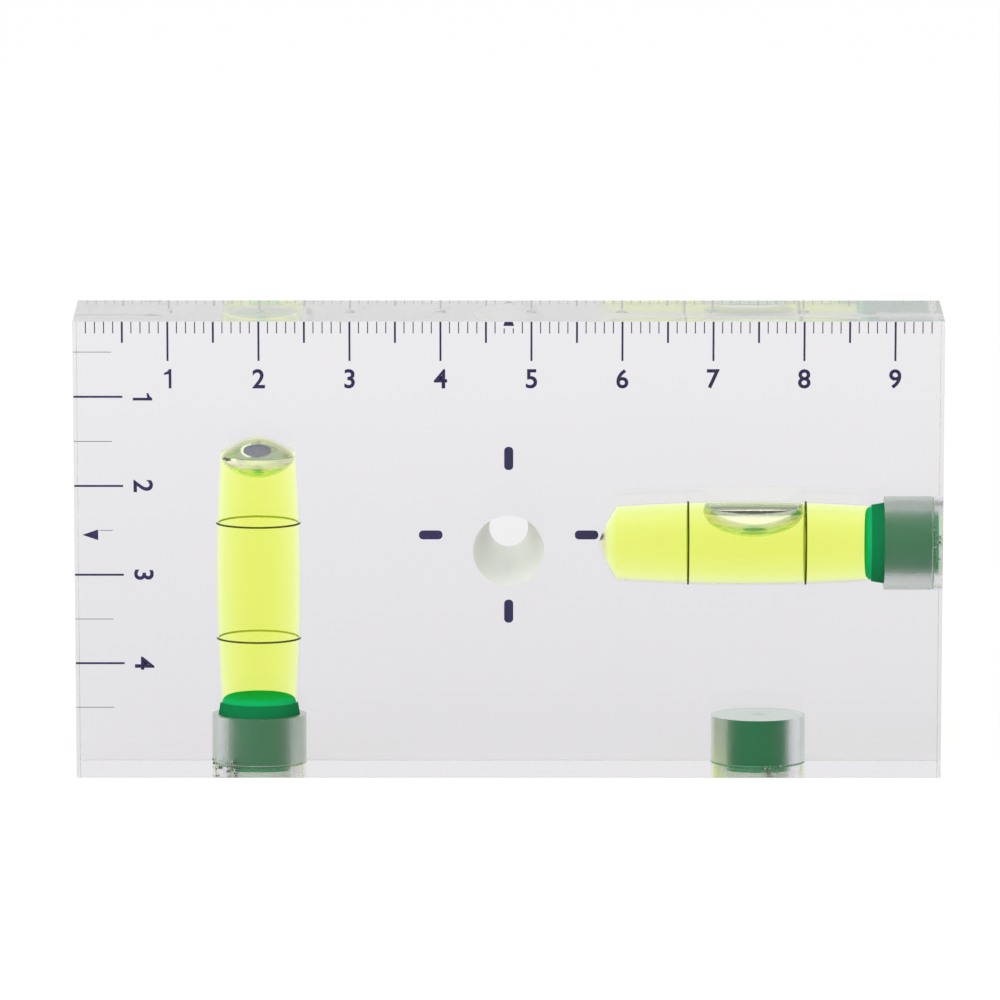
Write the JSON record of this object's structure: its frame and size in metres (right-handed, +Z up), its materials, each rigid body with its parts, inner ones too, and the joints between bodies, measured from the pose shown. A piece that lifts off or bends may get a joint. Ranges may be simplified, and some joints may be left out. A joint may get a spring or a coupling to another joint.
{
  "type": "magnetic spirit level",
  "caption": "Clear rectangular block level with a level vial, a plumb vial, a magnet in its bottom edge, printed rulers and a tapered sighting hole.",
  "frame": {"origin": "centre of the block's bottom face, on the floor that the level stands on", "axes": "+X along the block's length towards the level vial's mouth, +Y through its thickness towards the printed face, +Z up"},
  "size_m": [0.095, 0.013, 0.051],
  "materials": {
    "clear_acrylic": "polished, clear cast acrylic",
    "vial_liquid": "clear fluorescent yellow-green liquid",
    "ring_black": "matt black lacquer",
    "green_plastic": "satin moulded green plastic",
    "clear_resin": "clear cured resin with small bubbles",
    "nickel_plate": "nickel plated",
    "printing_ink": "dark navy screen print"
  },
  "bodies": {
    "root": {"block": "clear_acrylic", "level_liquid": "vial_liquid", "plumb_liquid": "vial_liquid", "level_ring_outer": "ring_black", "level_ring_inner": "ring_black", "plumb_ring_lower": "ring_black", "plumb_ring_upper": "ring_black", "level_stopper": "green_plastic", "plumb_stopper": "green_plastic", "level_seal": "clear_resin", "plumb_seal": "clear_resin", "magnet": "nickel_plate", "magnet_cup": "green_plastic", "magnet_seal": "clear_resin", "length_scale_ticks": "printing_ink", "height_scale_ticks": "printing_ink", "edge_arrows": "printing_ink", "centre_dashes": "printing_ink"}
  },
  "joints": []
}
